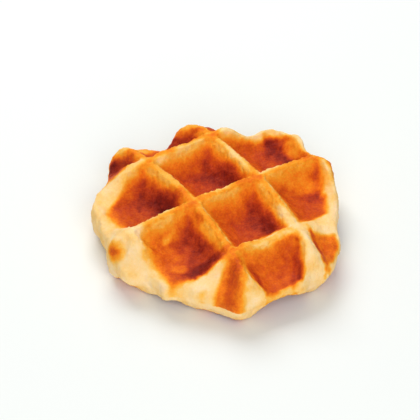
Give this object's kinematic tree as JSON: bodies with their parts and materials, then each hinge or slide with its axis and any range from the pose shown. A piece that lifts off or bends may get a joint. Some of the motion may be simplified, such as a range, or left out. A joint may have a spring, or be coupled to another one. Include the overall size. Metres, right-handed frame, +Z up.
{
  "type": "belgian waffle",
  "caption": "Round Belgian sugar waffle with a lobed free rim and a diagonal lattice of deep square pockets on both faces.",
  "frame": {"origin": "centre of the waffle's outline box, on the surface it lies on", "axes": "+Z up through the thickness; -Y towards the side that faces the viewer in the picture, +X to its right"},
  "size_m": [0.0912, 0.0996, 0.022],
  "materials": {
    "baked_dough": "baked dough: orange-brown glossy crust where the iron pressed it, pale cream and matt at the free rim"
  },
  "bodies": {
    "root": {"waffle": "baked_dough"}
  },
  "joints": []
}
